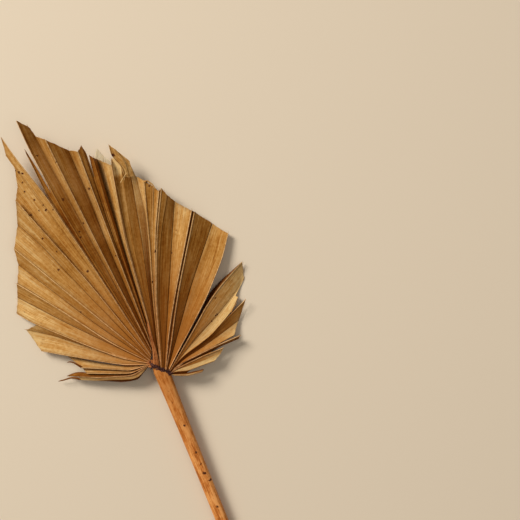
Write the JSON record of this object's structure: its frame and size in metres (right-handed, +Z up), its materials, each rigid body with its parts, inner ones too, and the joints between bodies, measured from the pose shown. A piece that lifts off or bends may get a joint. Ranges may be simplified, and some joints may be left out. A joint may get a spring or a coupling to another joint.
{
  "type": "dried palm spear",
  "caption": "Dried fan palm leaf trimmed to a spear head, pleated and split, cut with its stalk and lying face up.",
  "frame": {"origin": "on the surface it lies on, under the middle of its bounding box", "axes": "+Y up the stalk towards the blade's tip, +Z up, +X to the blade's right seen from above"},
  "size_m": [0.1668, 0.4826, 0.0204],
  "materials": {
    "blade": "dry matte leaf",
    "petiole": "dry satin stalk"
  },
  "bodies": {
    "root": {"blade": "blade", "petiole": "petiole"}
  },
  "joints": []
}
